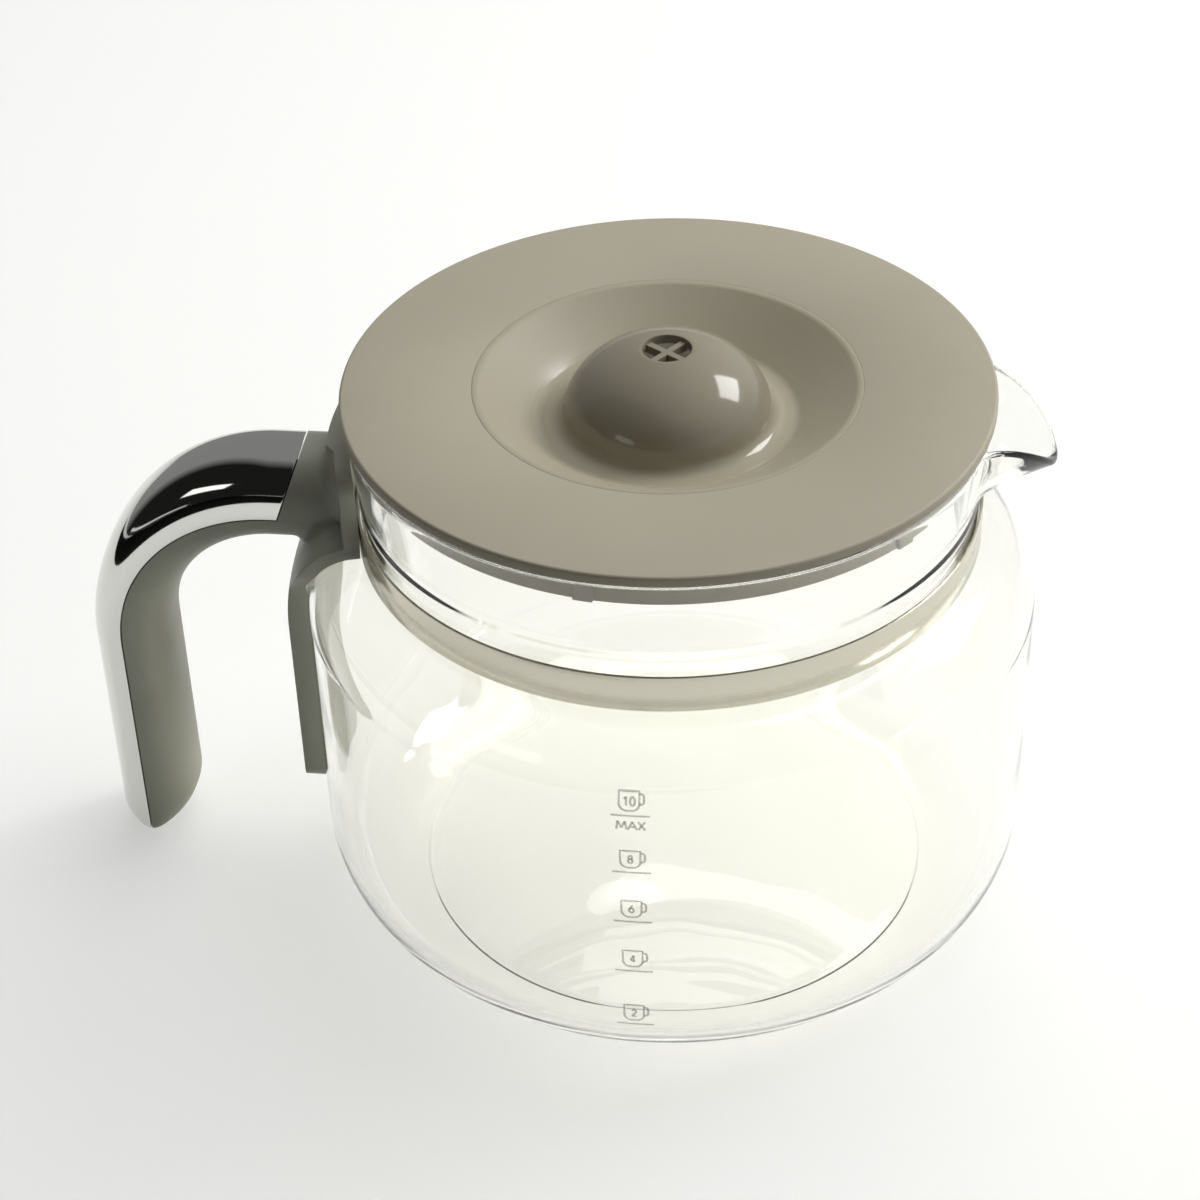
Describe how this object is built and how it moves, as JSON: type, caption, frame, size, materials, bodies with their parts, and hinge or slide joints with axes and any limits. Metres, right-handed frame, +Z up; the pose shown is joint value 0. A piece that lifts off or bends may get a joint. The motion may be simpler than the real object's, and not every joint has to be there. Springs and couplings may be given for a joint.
{
  "type": "coffee carafe",
  "caption": "Round glass coffee carafe with a pressed spout, a steel neck band, a bent handle under a bright cover and a lift-off lid with a vented dome in its dish.",
  "frame": {"origin": "centre of the jug's flat base, on the surface it stands on", "axes": "+X towards the spout, -X towards the handle, +Z up along the jug's axis"},
  "size_m": [0.2077, 0.1552, 0.1332],
  "materials": {
    "clear_glass": "clear, polished",
    "stainless": "polished",
    "zinc_steel": "zinc plated",
    "grey_plastic": "satin",
    "chrome_plate": "mirror bright",
    "greige_satin": "satin",
    "greige_gloss": "gloss"
  },
  "bodies": {
    "jug": {"glass_jug": "clear_glass", "neck_band": "stainless", "clamp_screw": "zinc_steel", "clamp_nut": "zinc_steel", "handle_core": "grey_plastic", "chrome_cover": "chrome_plate", "cover_screw": "zinc_steel"},
    "lid": {"lid_cap": "greige_satin", "drip_dome": "greige_gloss"}
  },
  "joints": [
    {"name": "lid_lift", "type": "slide", "parent": "jug", "child": "lid", "axis": [0, 0, 1], "range_m": [0, 0.06]}
  ]
}
